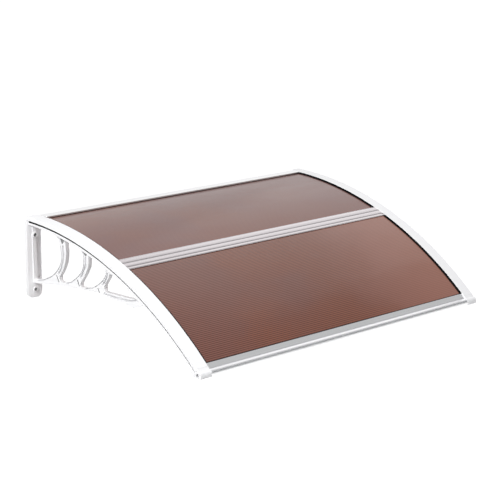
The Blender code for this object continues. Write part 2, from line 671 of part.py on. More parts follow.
def front_bar():
    """The edge extrusion: flange on the sheet, ledge, round nose, groove, drip lip, slot and screw port."""
    start, skin = FRONT_BAR_START, FRONT_SKIN
    slot_end = start + FRONT_SHEET_SLOT
    ledge_end = front_point(NOSE_OUT - NOSE_RADIUS, LEDGE_END_DOWN)
    nose_centre = (ledge_end[0], ledge_end[1] - NOSE_RADIUS)
    groove_floor = NOSE_OUT - GROOVE_DEPTH
    lip_front = NOSE_OUT - LIP_SET_BACK
    box_top = arc_point(start + FRONT_BOX_START, SEAT_TOP - skin)
    box_back = box_top[0] - arc_point(start, 0.0)[0]
    lower_flange = start - FRONT_LOWER_FLANGE_BACK
    outline = [
        arc_point(start, FIT), arc_point(start, FIT + skin),
        arc_point(start + FRONT_FLANGE_LENGTH, FIT + skin),
        *arc_between(nose_centre, NOSE_RADIUS, 90, 0, NOSE_STEPS),
        front_point(NOSE_OUT, GROOVE_TOP), front_point(groove_floor, GROOVE_TOP + GROOVE_SLOPE),
        front_point(groove_floor, GROOVE_BOTTOM), front_point(lip_front, GROOVE_BOTTOM),
        front_point(lip_front, LIP_DOWN), front_point(lip_front - FRONT_LIP_THICK, LIP_DOWN),
        front_point(lip_front - FRONT_LIP_THICK, FRONT_BOX_DOWN),
        front_point(box_back, FRONT_BOX_DOWN), box_top,
        arc_point(lower_flange, SEAT_TOP - skin), arc_point(lower_flange, SEAT_TOP),
        arc_point(slot_end, SEAT_TOP), arc_point(slot_end, FIT),
    ]
    floor = FRONT_BOX_DOWN - skin
    tube = FRONT_TUBE_RADIUS
    foot = math.degrees(math.asin((FRONT_SCREW_DOWN - floor) / tube))
    chamber = [
        front_point(box_back + skin, floor),
        *arc_between(front_port(), tube, 180 - foot, foot, FRONT_TUBE_STEPS),
        front_point(groove_floor - skin, floor),
        front_point(groove_floor - skin, GROOVE_TOP - skin / 2),
        front_point(NOSE_OUT - skin, GROOVE_TOP - skin),
        front_point(NOSE_OUT - NOSE_RADIUS, LEDGE_END_DOWN + skin),
        arc_point(slot_end + skin, FIT - skin),
        arc_point(slot_end + skin, SEAT_TOP - 2 * skin),
        arc_point(start + FRONT_BOX_START + skin, SEAT_TOP - 2 * skin - skin / 2),
    ]
    port = circle(front_port(), PORT_RADIUS)
    return prism("front_bar", ALUMINIUM, [outline, chamber, port], -BAR_END, BAR_END)


def cover_strip(name, side):
    """The white channel over the side of the canopy: top wall, rounded edges and a skirt outside."""
    outer, inner = STRIP_OUTER, STRIP_INNER
    skirt, corner = outer - STRIP_SKIRT, STRIP_CORNER
    section = [
        (inner, STRIP_UNDER), (inner, STRIP_TOP - corner), (inner + corner, STRIP_TOP),
        (outer - corner, STRIP_TOP), (outer, STRIP_TOP - corner), (outer, -SKIRT_BOTTOM),
        (skirt, -SKIRT_BOTTOM), (skirt, STRIP_UNDER),
    ]
    section = [(side * x, h) for x, h in section]
    return sweep(name, WHITE, section, s_at_wall(-SKIRT_BOTTOM), FRONT_BAR_START + STRIP_PAST_FRONT)


def side_seal(name, side, start, end):
    """The black gasket under the inner edge of a cover strip, with a thin lip on the sheet."""
    roof = FIT + SEAL_HEIGHT
    lip = STRIP_INNER - SEAL_LIP
    section = [
        (lip, FIT), (lip, FIT + SEAL_TIP_HEIGHT), (STRIP_INNER - FIT, roof),
        (lip + SEAL_WIDTH, roof), (lip + SEAL_WIDTH, FIT),
    ]
    return sweep(name, BLACK, [(side * x, h) for x, h in section], start, end)


def wall_seal():
    """The black gasket between the wall bar's top and the sheet."""
    top = FIT + WALL_SEAL_HEIGHT
    corners = [(-WALL_SEAL_THICK, FIT), (-WALL_SEAL_THICK, top), (0.0, top), (0.0, FIT)]
    return prism("wall_seal", BLACK, [[arc_point(s, h) for s, h in corners]], -BAR_END, BAR_END)


def end_screw(name, side):
    """The pan-head screw through the bracket's front end into the front bar's port."""
    out, up = front_port()
    seat = BODY_OUTER - COUNTERBORE_DEPTH + FIT
    tip = STRIP_INNER - SCREW_IN_BAR
    top = seat + HEAD_HEIGHT
    profile = [
        (0.0, tip), (SCREW_RADIUS, tip + SCREW_RADIUS), (SCREW_RADIUS, seat), (HEAD_RADIUS, seat),
        (HEAD_RADIUS, seat + HEAD_HEIGHT / 2), (HEAD_RADIUS * HEAD_FLAT_SHARE, top),
        (HEAD_SOCKET_RADIUS, top), (HEAD_SOCKET_RADIUS, top - HEAD_SOCKET_DEPTH),
        (0.0, top - HEAD_SOCKET_DEPTH),
    ]
    bm = bmesh.new()
    verts = [bm.verts.new((side * x, r, 0.0)) for r, x in profile]
    edges = [bm.edges.new(pair) for pair in zip(verts, verts[1:])]
    bmesh.ops.spin(bm, geom=verts + edges, cent=(0, 0, 0), axis=(1, 0, 0), angle=2 * math.pi,
                   steps=ROUND_STEPS, use_merge=True)
    bmesh.ops.remove_doubles(bm, verts=bm.verts, dist=MERGE)
    bmesh.ops.translate(bm, vec=(0.0, -out, up), verts=bm.verts)
    return finish(bm, name, STEEL)


def main():
    clear_scene()
    right = bracket_right()
    mirrored(right, "bracket_left")

    rear_start = WALL_BAR_SLOT_BACK + SHEET_END_GAP - WALL_BAR_DEPTH
    web = MIDDLE_BAR_WEB / 2 + SHEET_END_GAP
    sheet("sheet_rear", rear_start, MIDDLE_BAR_CENTRE - web)
    sheet("sheet_front", MIDDLE_BAR_CENTRE + web, FRONT_BAR_START + FRONT_SHEET_SLOT - SHEET_END_GAP)

    wall_bar()
    middle_bar()
    front_bar()
    wall_seal()
    for side_name, side in (("left", -1), ("right", 1)):
        cover_strip("cover_strip_" + side_name, side)
        before = MIDDLE_BAR_CENTRE - MIDDLE_BAR_WIDTH / 2 - FIT
        after = MIDDLE_BAR_CENTRE + MIDDLE_BAR_WIDTH / 2 + FIT
        side_seal("side_seal_rear_" + side_name, side, FIT, before)
        side_seal("side_seal_front_" + side_name, side, after, FRONT_BAR_START - FIT)
        end_screw("front_screw_" + side_name, side)


main()
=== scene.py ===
"""Looks for the fixed polycarbonate door canopy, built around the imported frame.

Metres, in the CAD's frame: X along the wall, the canopy reaches towards -Y, and the wall is Y = 0.
(out, up) is the distance from the wall and the height. (s, h) is the length along the sheet's top
face from the front edge of the wall bar, and the height above that face.
"""
import math

import bmesh
import bpy
from mathutils import Matrix, Vector
from mathutils.geometry import tessellate_polygon


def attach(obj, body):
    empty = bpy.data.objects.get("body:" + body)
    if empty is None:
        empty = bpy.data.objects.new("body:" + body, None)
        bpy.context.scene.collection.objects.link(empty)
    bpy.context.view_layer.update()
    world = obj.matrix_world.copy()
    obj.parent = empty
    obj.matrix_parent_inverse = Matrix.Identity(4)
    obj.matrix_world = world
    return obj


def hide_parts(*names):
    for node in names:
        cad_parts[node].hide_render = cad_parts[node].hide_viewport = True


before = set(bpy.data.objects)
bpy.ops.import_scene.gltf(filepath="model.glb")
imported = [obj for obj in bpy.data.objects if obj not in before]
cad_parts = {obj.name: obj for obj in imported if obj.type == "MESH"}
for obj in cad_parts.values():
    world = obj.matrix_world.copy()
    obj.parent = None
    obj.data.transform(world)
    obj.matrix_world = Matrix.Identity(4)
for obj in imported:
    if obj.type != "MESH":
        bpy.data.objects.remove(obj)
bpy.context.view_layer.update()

# Camera, solved from the photo
CAMERA_PLACE = (-3.2720, -4.0439, 1.1419)
CAMERA_AZIMUTH = math.radians(-41.963)
CAMERA_ELEVATION = math.radians(14.537)
CAMERA_ROLL = math.radians(0.476)
FOCAL_LENGTH = 111.94
SENSOR = 36.0
CLIP_END = 200.0

# Studio. In gloss, the world brightens from the front to the back
FLOOR_HEIGHT = -2.2
FLOOR_HALF = 40.0
FLOOR_GREY, FLOOR_GLOW = 0.70, 0.85
WORLD_LEVEL = 0.27
GLOSS_FRONT, GLOSS_BACK = 0.42, 1.0
GLOSS_FROM, GLOSS_TO = -0.55, 0.60
CANOPY_MIDDLE = (0.0, -0.4, -0.1)
# Name, place, target, size and power. The fill is below the sheets' plane, so it reaches only the
# right side, the back and the underside
LAMPS = (
    ("key", (-5.6, -1.7, 4.0), CANOPY_MIDDLE, 1.4, 390),
    ("front", (-1.2, -4.8, 4.6), CANOPY_MIDDLE, 2.6, 150),
    ("rim", (2.4, 0.6, 2.0), (0.4, -0.4, -0.05), 2.4, 5),
    ("fill", (5.0, 2.8, -0.6), CANOPY_MIDDLE, 1.6, 150),
)

# Overall sizes, as the frame has them. FIT is the play between two pieces
HALF_WIDTH = 0.600
ARC_RADIUS = 1.277
START_SLOPE = math.radians(1.0)
WALL_BAR_DEPTH = 0.0508
FRONT_BAR_START = 0.8423
FIT = 0.0003
SHEET_THICK = 0.005
SEAT_TOP = -SHEET_THICK - FIT
STRIP_OUTER, STRIP_INNER = 0.594, 0.552
BODY_OUTER, BODY_INNER = 0.580, 0.566
BODY_CENTRE = 0.573
PLATE_INNER = 0.546
BAR_END = STRIP_INNER - FIT
SHEET_HALF = 0.586

# Fineness of the curves, and limits of the offsets: how far a sharp corner may run out, and how
# much of an edge one chamfer may take
ARC_STEP = 0.004
CIRCLE_STEPS = 40
STROKE_END_STEPS = 6
MITRE_LIMIT = 2.0
CHAMFER_SHARE = 0.4


def new_object(name, data):
    made = bpy.data.objects.new(name, data)
    bpy.context.scene.collection.objects.link(made)
    return made


# Curves and outlines

def arc_point(s, h):
    """(out, up) of the place (s, h). Behind the wall bar's front edge the sheet runs straight."""
    angle = START_SLOPE + max(s, 0.0) / ARC_RADIUS
    straight = min(s, 0.0)
    out = WALL_BAR_DEPTH + ARC_RADIUS * (math.sin(angle) - math.sin(START_SLOPE))
    up = ARC_RADIUS * (math.cos(angle) - math.cos(START_SLOPE))
    out += straight * math.cos(START_SLOPE) + h * math.sin(angle)
    up += h * math.cos(angle) - straight * math.sin(START_SLOPE)
    return out, up


def arc_places(start, end):
    """Evenly spaced s from start to end."""
    count = max(1, math.ceil((end - start) / ARC_STEP))
    return [start + (end - start) * i / count for i in range(count + 1)]


def arc_line(start, end, h):
    return [arc_point(s, h) for s in arc_places(start, end)]


def s_at_out(out):
    """The s of the place on the top face that is this far from the wall."""
    sine = (out - WALL_BAR_DEPTH) / ARC_RADIUS + math.sin(START_SLOPE)
    return (math.asin(sine) - START_SLOPE) * ARC_RADIUS


def s_at_wall(h):
    """The s at which a line of height h meets the wall."""
    return -(WALL_BAR_DEPTH + h * math.sin(START_SLOPE)) / math.cos(START_SLOPE)


def below(points):
    """(out, up) of points given as (out, depth under the sheet's top face)."""
    placed = []
    for out, depth in points:
        height = arc_point(s_at_out(out), 0.0)[1] if out > WALL_BAR_DEPTH else 0.0
        placed.append((out, height - depth))
    return placed


def circle(centre, radius):
    turns = [2 * math.pi * i / CIRCLE_STEPS for i in range(CIRCLE_STEPS)]
    return [(centre[0] + radius * math.cos(a), centre[1] + radius * math.sin(a)) for a in turns]


def arc_between(centre, radius, first, last, steps=10):
    """Points on a circle from the first to the last angle, in degrees."""
    angles = [math.radians(first + (last - first) * i / steps) for i in range(steps + 1)]
    return [(centre[0] + radius * math.cos(a), centre[1] + radius * math.sin(a)) for a in angles]


def smooth_line(points, steps=8):
    """A Catmull-Rom curve through the points, which keeps the first and the last."""
    ends = [points[0], *points, points[-1]]
    line = [points[0]]
    for a, b, c, d in zip(ends, ends[1:], ends[2:], ends[3:]):
        for i in range(1, steps + 1):
            t = i / steps
            line.append(tuple(
                0.5 * (2 * q + (r - p) * t + (2 * p - 5 * q + 4 * r - w) * t * t
                       + (3 * q - p - 3 * r + w) * t ** 3)
                for p, q, r, w in zip(a, b, c, d)
            ))
    return line


def shifted(points, distance):
    """The line moved sideways, to its left for a positive distance."""
    moved = []
    for i, (x, y) in enumerate(points):
        before, after = points[max(i - 1, 0)], points[min(i + 1, len(points) - 1)]
        along = Vector((after[0] - before[0], after[1] - before[1])).normalized()
        moved.append((x - along.y * distance, y + along.x * distance))
    return moved


def grown(loop, distance):
    """A closed loop with its corners moved outwards, or inwards for a negative distance."""
    area = sum(a[0] * b[1] - b[0] * a[1] for a, b in zip(loop, loop[1:] + loop[:1]))
    way = math.copysign(1.0, area) * distance
    moved = []
    for before, here, after in zip(loop[-1:] + loop[:-1], loop, loop[1:] + loop[:1]):
        arrive = Vector((here[0] - before[0], here[1] - before[1])).normalized()
        leave = Vector((after[0] - here[0], after[1] - here[1])).normalized()
        along = arrive + leave
        reach = way * min(2 / along.length, MITRE_LIMIT) / along.length
        moved.append((here[0] + along.y * reach, here[1] - along.x * reach))
    return moved


def chamfered(loop, cut, angle=0.0):
    """A closed loop with each corner cut off that turns by more than the angle, in degrees."""
    points = []
    for before, here, after in zip(loop[-1:] + loop[:-1], loop, loop[1:] + loop[:1]):
        arrive = Vector((here[0] - before[0], here[1] - before[1]))
        leave = Vector((after[0] - here[0], after[1] - here[1]))
        if arrive.angle(leave) < math.radians(angle):
            points.append(here)
            continue
        for other in (before, after):
            share = min(CHAMFER_SHARE, cut / math.dist(here, other))
            points.append(tuple(a + (b - a) * share for a, b in zip(here, other)))
    return points


def stroke(points, width):
    """The outline of a band that follows a line, with rounded ends."""
    left, right = shifted(points, width / 2), shifted(points, -width / 2)

    def end(tip, inner):
        along = Vector((tip[0] - inner[0], tip[1] - inner[1]))
        turn = math.degrees(math.atan2(along.y, along.x))
        return arc_between(tip, width / 2, turn + 90, turn - 90, STROKE_END_STEPS)[1:-1]

    return left + end(points[-1], points[-2]) + right[::-1] + end(points[0], points[1])


# Mesh building

def along_x(side):
    """Places an (out, up) outline at a level x, on one side of the canopy."""
    return lambda point, x: (side * x, -point[0], point[1])


def along_y(side):
    """Places an (x, up) outline at a distance from the wall, on one side of the canopy."""
    return lambda point, out: (side * point[0], -out, point[1])


def ring(bm, loop, place, level):
    return [bm.verts.new(place(point, level)) for point in loop]


def wall(bm, first, second, slot=0):
    """Faces between two rings of as many points."""
    for i in range(len(first)):
        j = (i + 1) % len(first)
        bm.faces.new([first[i], first[j], second[j], second[i]]).material_index = slot


def cap(bm, loops, rings, slot=0):
    """Fills the first ring, less the others. The loops are the same rings in the flat."""
    flat = [vert for loop_ring in rings for vert in loop_ring]
    for triangle in tessellate_polygon([[Vector((a, b, 0.0)) for a, b in loop] for loop in loops]):
        bm.faces.new([flat[i] for i in triangle]).material_index = slot


def tube(bm, place, loops, levels, slot=0):
    """Walls through matching loops, each at its level. Gives the first and the last ring."""
    rings = [ring(bm, loop, place, level) for loop, level in zip(loops, levels)]
    for first, second in zip(rings, rings[1:]):
        wall(bm, first, second, slot)
    return rings[0], rings[-1]


def slab(bm, loops, place, low, high, low_pockets=(), high_pockets=(), hole_slot=0, soft=0.0):
    """A flat body: its outline, holes right through it, and pockets in either face.

    A pocket is a loop, the level of its floor and the material slot of its faces. With soft, every
    edge of the two faces is chamfered by that much, and the pockets' mouths by half of it.
    """
    rims = [grown(loop, soft if i else -soft) if soft else loop for i, loop in enumerate(loops)]
    ends = []
    for i, (loop, rim) in enumerate(zip(loops, rims)):
        between = [(loop, low + soft), (loop, high - soft)] if soft else []
        places = [(rim, low), *between, (rim, high)]
        ends.append(tube(bm, place, *zip(*places), hole_slot if i else 0))
    faces = ((low, 0, low_pockets, 1), (high, 1, high_pockets, -1))
    for level, side, pockets, inward in faces:
        mouths = [grown(loop, soft / 2) if soft else loop for loop, *_ in pockets]
        rings = [end[side] for end in ends]
        for (loop, floor, slot), mouth in zip(pockets, mouths):
            between = [(loop, level + inward * soft / 2)] if soft else []
            first, last = tube(bm, place, *zip((mouth, level), *between, (loop, floor)), slot)
            rings.append(first)
            cap(bm, [loop], [last], slot)
        cap(bm, rims + mouths, rings)


def sweep(bm, section, side, start, end):
    """A closed (x, h) section carried along the curve. The section may change with the place."""
    rings = []
    for s in arc_places(start, end):
        loop = section(s) if callable(section) else section
        points = [(x, *arc_point(s, h)) for x, h in loop]
        rings.append([bm.verts.new((side * x, -out, up)) for x, out, up in points])
    for first, second in zip(rings, rings[1:]):
        wall(bm, first, second)
    loop = section(start) if callable(section) else section
    for end_ring in (rings[0], rings[-1]):
        cap(bm, [loop], [end_ring])


def piece(bm, name, made, nodes=(), bevel=0.0, segments=2, angle=30.0):
    """Finishes a bmesh as a shown piece with its materials, and hides the CAD nodes it stands for.
    """
    bmesh.ops.recalc_face_normals(bm, faces=bm.faces)
    mesh = bpy.data.meshes.new(name)
    bm.to_mesh(mesh)
    bm.free()
    mesh.shade_smooth()
    mesh.set_sharp_from_angle(angle=math.radians(angle))
    for material in made if isinstance(made, tuple) else (made,):
        mesh.materials.append(material)
    shown = new_object(name, mesh)
    if bevel:
        soft = shown.modifiers.new("edges", "BEVEL")
        soft.width = bevel
        soft.segments = segments
        soft.limit_method = "ANGLE"
        soft.angle_limit = math.radians(angle)
        soft.harden_normals = True
    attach(shown, "root")
    if nodes:
        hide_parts(*nodes)
    return shown


# Materials

# The plain plastic, then the same plastic darkened as painted shade for channels and for slits
PLASTIC_WHITE, CHANNEL_PAINTED_SHADE, SLIT_PAINTED_SHADE = 0.90, 0.78, 0.34
# For each sheet: two tones of the cells, the ribs under the skin, and the painted light towards +X
REAR_BROWN = (((0.190, 0.068, 0.044), (0.165, 0.068, 0.058)),
              (0.120, 0.042, 0.034), (0.170, 0.066, 0.056))
FRONT_BROWN = (((0.212, 0.065, 0.034), (0.184, 0.065, 0.046)),
               (0.070, 0.023, 0.014), (0.350, 0.150, 0.108))
PAINTED_LIGHT_START, PAINTED_LIGHT_END, PAINTED_LIGHT_MOST = 0.02, 0.70, 0.62
RIB_CORE, RIB_EDGE = 0.10, 0.28
SHEET_IOR = 1.58
# For each metal: colour and roughness
EDGE_METAL = ((0.845, 0.850, 0.865), 0.30)
PALE_METAL = ((0.92, 0.92, 0.925), 0.32)
# The ridged bar's grey carries a pink tint, a painted reflection of the brown sheets
RIDGE_METAL_AND_PINK_REFLECTION = ((0.65, 0.61, 0.625), 0.24)


class Nodes:
    """Short forms for building one node tree."""

    def __init__(self, tree):
        self.tree = tree

    def put(self, socket, value):
        if isinstance(value, bpy.types.NodeSocket):
            self.tree.links.new(value, socket)
        else:
            socket.default_value = value

    def add(self, kind, **settings):
        node = self.tree.nodes.new("ShaderNode" + kind)
        for key, value in settings.items():
            if key in node.inputs.keys():
                self.put(node.inputs[key], value)
            else:
                setattr(node, key, value)
        return node

    def math(self, operation, *values):
        node = self.add("Math", operation=operation)
        for socket, value in zip(node.inputs, values):
            self.put(socket, value)
        return node.outputs[0]

    def span(self, value, low, high, first=0.0, last=1.0):
        node = self.add("MapRange", interpolation_type="SMOOTHSTEP")
        for socket, number in zip(node.inputs, (value, low, high, first, last)):
            self.put(socket, number)
        return node.outputs[0]

    def mix(self, factor, first, second):
        node = self.add("Mix", data_type="RGBA")
        self.put(node.inputs[0], factor)
        self.put(node.inputs[6], (*first, 1) if isinstance(first, tuple) else first)
        self.put(node.inputs[7], (*second, 1) if isinstance(second, tuple) else second)
        return node.outputs[2]

    def noise(self, scale, stretch=(1, 1, 1), detail=3.0):
        place = self.add("TexCoord").outputs["Object"]
        mapping = self.add("Mapping", Vector=place)
        mapping.inputs["Scale"].default_value = stretch
        noise = self.add("TexNoise", Scale=scale, Detail=detail, Vector=mapping.outputs[0])
        return noise.outputs[0]

    def bump(self, height, strength, distance):
        node = self.add("Bump", Strength=strength, Distance=distance, Height=height)
        return node.outputs[0]


def new_material(name, **values):
    made = bpy.data.materials.new(name)
    made.use_nodes = True
    shader = made.node_tree.nodes["Principled BSDF"]
    for key, value in values.items():
        shader.inputs[key.replace("_", " ")].default_value = value
    return made, Nodes(made.node_tree), shader


def white_plastic(name, level):
    """Moulded plastic of one white, or the same plastic darkened as painted shade for narrow
    recesses.
    """
    made, nodes, shader = new_material(name)
    low, high = (0.97 * level, 0.97 * level, 0.99 * level), (level, level, 1.01 * level)
    nodes.put(shader.inputs["Base Color"], nodes.mix(nodes.noise(9.0), low, high))
    nodes.put(shader.inputs["Roughness"], nodes.span(nodes.noise(45.0), 0.3, 0.7, 0.32, 0.42))
    nodes.put(shader.inputs["Normal"], nodes.bump(nodes.noise(1400.0, detail=2.0), 0.06, 0.0002))
    return made


def brown_sheet(name, cells, rib_colour, painted_light_colour):
    """Tinted twin-wall sheet: darker where a flute wall lies under the skin, with painted light
    that grows towards +X.
    """
    made, nodes, shader = new_material(name, IOR=SHEET_IOR)
    place = nodes.add("SeparateXYZ", Vector=nodes.add("TexCoord").outputs["UV"])
    # The distance from the nearest flute wall, in flutes
    turn = nodes.math("FRACT", nodes.math("ADD", place.outputs[1], 0.5))
    off = nodes.math("ABSOLUTE", nodes.math("SUBTRACT", turn, 0.5))
    rib = nodes.span(off, RIB_CORE, RIB_EDGE, 1.0, 0.0)
    blotch = nodes.span(nodes.noise(2.6, (1.0, 1.6, 1.6), 4.0), 0.38, 0.62)
    cell = nodes.mix(rib, nodes.mix(blotch, *cells), rib_colour)
    # Painted light: the sheet grows paler towards +X, where the light falls
    object_place = nodes.add("SeparateXYZ", Vector=nodes.add("TexCoord").outputs["Object"])
    across = nodes.math("ADD", object_place.outputs[0], nodes.math("MULTIPLY", blotch, 0.12))
    painted_light = nodes.span(across, PAINTED_LIGHT_START, PAINTED_LIGHT_END, 0.0, PAINTED_LIGHT_MOST)
    gloss = nodes.span(nodes.noise(6.0, (1, 3, 3)), 0.3, 0.7, 0.16, 0.24)
    waves = nodes.noise(70.0, (0.2, 1, 1), 2.0)
    nodes.put(shader.inputs["Base Color"], nodes.mix(painted_light, cell, painted_light_colour))
    nodes.put(shader.inputs["Roughness"], gloss)
    nodes.put(shader.inputs["Normal"], nodes.bump(waves, 0.05, 0.001))
    return made


def aluminium(name, colour, roughness):
    """Metal with fine lines along the bar."""
    made, nodes, shader = new_material(name, Metallic=1.0)
    lines = nodes.noise(900.0, (0.004, 1, 1))
    dark = tuple(0.90 * value for value in colour)
    gloss = nodes.span(lines, 0.2, 0.8, roughness + 0.05, roughness - 0.03)
    nodes.put(shader.inputs["Base Color"], nodes.mix(nodes.span(lines, 0.35, 0.65), dark, colour))
    nodes.put(shader.inputs["Roughness"], gloss)
    nodes.put(shader.inputs["Normal"], nodes.bump(lines, 0.10, 0.0002))
    return made


def black_rubber():
    made, nodes, shader = new_material(
        "black_seal_rubber", Roughness=0.75, Specular_IOR_Level=0.05)
    grain = nodes.noise(700.0)
    low, high = (0.003, 0.003, 0.003), (0.007, 0.007, 0.008)
    nodes.put(shader.inputs["Base Color"], nodes.mix(grain, low, high))
    nodes.put(shader.inputs["Normal"], nodes.bump(grain, 0.15, 0.0002))
    return made


def steel():
    made, nodes, shader = new_material("bright_screw_steel", Metallic=1.0)
    swirl = nodes.noise(1500.0)
    low, high = (0.50, 0.50, 0.52), (0.62, 0.62, 0.64)
    nodes.put(shader.inputs["Base Color"], nodes.mix(swirl, low, high))
    nodes.put(shader.inputs["Roughness"], nodes.span(swirl, 0.3, 0.7, 0.22, 0.34))
    return made


# Bracket

# Material slots of painted shade. 0 is plain, the first is painted shade on channels, grooves,
# bores and the arches' walls, and the second is deeper painted shade on slits, corner pockets and
# screw holes
SHADE, DEEP_SHADE = 1, 2
# TUCK keeps two faces out of one plane. SOFT is the moulding's chamfer
TUCK, SOFT = 0.0004, 0.0006

FLANGE_THICK = 0.004
FLANGE_MIDDLE = SEAT_TOP - FLANGE_THICK / 2
INNER_LIP_THICK, INNER_LIP_DOWN = 0.003, 0.014
NECK_THICK, NECK_DOWN = 0.002, 0.0190
RAIL_DEPTH, RAIL_LIP_THICK, RAIL_LIP_DOWN = 0.026, 0.004, 0.0205
RIM_WIDTH, RIM_SLOPE = 0.0015, 0.0040
GAP_DEPTH = 0.0125
GAP_BOTTOM, GAP_EXTRA, GAP_EXTRA_REACH = 0.0120, 0.0018, 0.45

PLATE_DEPTH, PLATE_FLOOR, PLATE_BOTTOM = 0.013, 0.009, 0.210
PLATE_NOTCH_DOWN = 0.0243
EAR_BOTTOM, EAR_SHOULDER, EAR_HALF = 0.262, 0.244, 0.013
EAR_CUT_DOWN, EAR_CUT_IN = 0.010, 0.004
# Top and bottom of each tray in the plate's back, and the walls beside them
TRAYS = ((0.028, 0.122), (0.138, 0.222))
TRAY_BODY_WALL, TRAY_RIM = 0.002, 0.0035
RECESS_TOP, RECESS_BOTTOM, RECESS_FLOOR, RECESS_RIM = 0.0265, 0.197, 0.0080, 0.0012
SPINE_OUT, SPINE_SUNK, SPINE_TOP, SPINE_BOTTOM = 0.017, 0.0015, 0.020, 0.205
BOLT_DOWNS = (0.055, 0.235)
BOLT_RADIUS, BOSS_RADIUS, BOSS_PROUD, BOSS_OVERLAP = 0.0052, 0.009, 0.003, 0.0008

BODY_BACK, BODY_FRONT, BODY_FOOT = 0.0125, 0.007, 0.002
WEB_HALF = 0.002
SKIRT_BOTTOM, SKIRT_THICK = 0.008, 0.0025
FRONT_SHEET_SLOT = 0.012
NOSE_BACK, NOSE_COVER, NOSE_FOOT, NOSE_RISE = 0.012, 0.001, 0.004, 0.002
BORE_RADIUS, BORE_SEAT, SHANK_RADIUS = 0.006, 0.006, 0.0024

# The bracket's curves, traced from the photo, as (out, depth under the sheet's top face)
FIRST_ARCH = [(0.139, 0.026), (0.155, 0.037), (0.166, 0.067), (0.166, 0.101), (0.152, 0.128),
              (0.128, 0.154), (0.099, 0.173), (0.055, 0.193), (0.018, 0.200)]
SECOND_REAR = [(0.192, 0.027), (0.196, 0.058), (0.195, 0.077), (0.191, 0.098), (0.181, 0.121),
               (0.168, 0.142), (0.158, 0.156), (0.162, 0.167)]
SECOND_FRONT = [(0.162, 0.167), (0.176, 0.168), (0.206, 0.157), (0.234, 0.138), (0.263, 0.110),
                (0.279, 0.087), (0.285, 0.063), (0.283, 0.042), (0.270, 0.027)]
THIRD_REAR = [(0.313, 0.027), (0.313, 0.051), (0.311, 0.066), (0.304, 0.082), (0.291, 0.105),
              (0.276, 0.127), (0.269, 0.139), (0.270, 0.146)]
THIRD_FRONT = [(0.270, 0.146), (0.280, 0.145), (0.306, 0.135), (0.337, 0.117), (0.365, 0.093),
               (0.387, 0.068), (0.398, 0.047), (0.397, 0.028)]
LEAF_REAR = [(0.422, 0.028), (0.418, 0.043), (0.408, 0.062), (0.395, 0.083), (0.391, 0.096),
             (0.396, 0.103)]
LEAF_FRONT = [(0.396, 0.103), (0.405, 0.102), (0.430, 0.093), (0.492, 0.067), (0.530, 0.048),
              (0.560, 0.028)]
LOWER_EDGE = [(0.592, 0.027), (0.570, 0.045), (0.545, 0.066), (0.524, 0.080), (0.492, 0.089),
              (0.444, 0.106), (0.373, 0.125), (0.309, 0.144), (0.240, 0.165), (0.160, 0.184),
              (0.059, 0.207)]
# Width and middle line of each channel. The straight ones are the slits, painted in deeper shade
CHANNELS = [
    (0.0098, [(0.1805, 0.053), (0.1825, 0.075), (0.181, 0.095), (0.1735, 0.116), (0.1665, 0.132),
              (0.155, 0.147)]),
    (0.0095, [(0.299, 0.045), (0.299, 0.057), (0.298, 0.069), (0.291, 0.085), (0.283, 0.101),
              (0.272, 0.118)]),
    (0.0046, [(0.4095, 0.041), (0.4045, 0.056), (0.3945, 0.073), (0.3830, 0.090)]),
    (0.0050, [(0.392, 0.112), (0.430, 0.101), (0.489, 0.077), (0.518, 0.063), (0.545, 0.044),
              (0.560, 0.035)]),
    (0.0040, [(0.143, 0.157), (0.154, 0.173)]),
    (0.0040, [(0.254, 0.133), (0.263, 0.147)]),
    (0.0036, [(0.3595, 0.1125), (0.3665, 0.1220)]),
]
CORNERS = [
    [(0.164, 0.030), (0.190, 0.031), (0.176, 0.046)],
    [(0.284, 0.031), (0.307, 0.031), (0.298, 0.039)],
]
# Shallow grooves along the arches, painted in shade: how far inside the edge, how wide, how deep
EDGE_GROOVE = (0.0038, 0.0034, 0.0030)
EDGE_LINES = [(FIRST_ARCH[1:], 1), (SECOND_FRONT[1:], -1), (THIRD_FRONT[1:], -1)]
CHANNEL_STEPS, GROOVE_STEPS, GROOVE_TRIM = 5, 6, 4


def body_outline():
    """The bracket's side outline. The first arch is open towards the wall plate."""
    front = FRONT_BAR_START + BODY_FRONT
    top = arc_line(BODY_BACK - WALL_BAR_DEPTH, front, FLANGE_MIDDLE)
    under = arc_line(s_at_out(LOWER_EDGE[0][0]), FRONT_BAR_START, -RAIL_DEPTH)[::-1]
    low = smooth_line(below(LOWER_EDGE))[1:] + [(BODY_BACK, -PLATE_BOTTOM - BODY_FOOT)]
    foot = (BODY_BACK, FIRST_ARCH[-1][1])
    arch = smooth_line(below(FIRST_ARCH[:-1] + [foot]))[::-1]
    return top + under + low + arch + [(BODY_BACK, -RAIL_DEPTH)]


def arch_opening(rear, front):
    return smooth_line(below(rear)) + smooth_line(below(front))[1:-1] + below(front)[-1:]


def recess_loops():
    """The pockets in the body's sides: loop, half of the web left between them, and slot, which
    paints shade into the pocket.
    """
    loops = []
    for width, line in CHANNELS:
        slot = DEEP_SHADE if len(line) == 2 else SHADE
        loops.append((stroke(smooth_line(below(line), CHANNEL_STEPS), width), WEB_HALF, slot))
    loops += [(below(corner), WEB_HALF, DEEP_SHADE) for corner in CORNERS]
    inset, width, depth = EDGE_GROOVE
    for line, side in EDGE_LINES:
        curve = smooth_line(below(line), GROOVE_STEPS)[GROOVE_TRIM:-GROOVE_TRIM]
        half = BODY_OUTER - BODY_CENTRE - depth
        loops.append((stroke(shifted(curve, side * inset), width), half, SHADE))
    return loops


def gap_rim(s):
    """Height of the rail's rim, under the gap. The gap is taller near the wall."""
    return -GAP_BOTTOM - GAP_EXTRA * min(1.0, max(0.0, 1 - s / GAP_EXTRA_REACH))


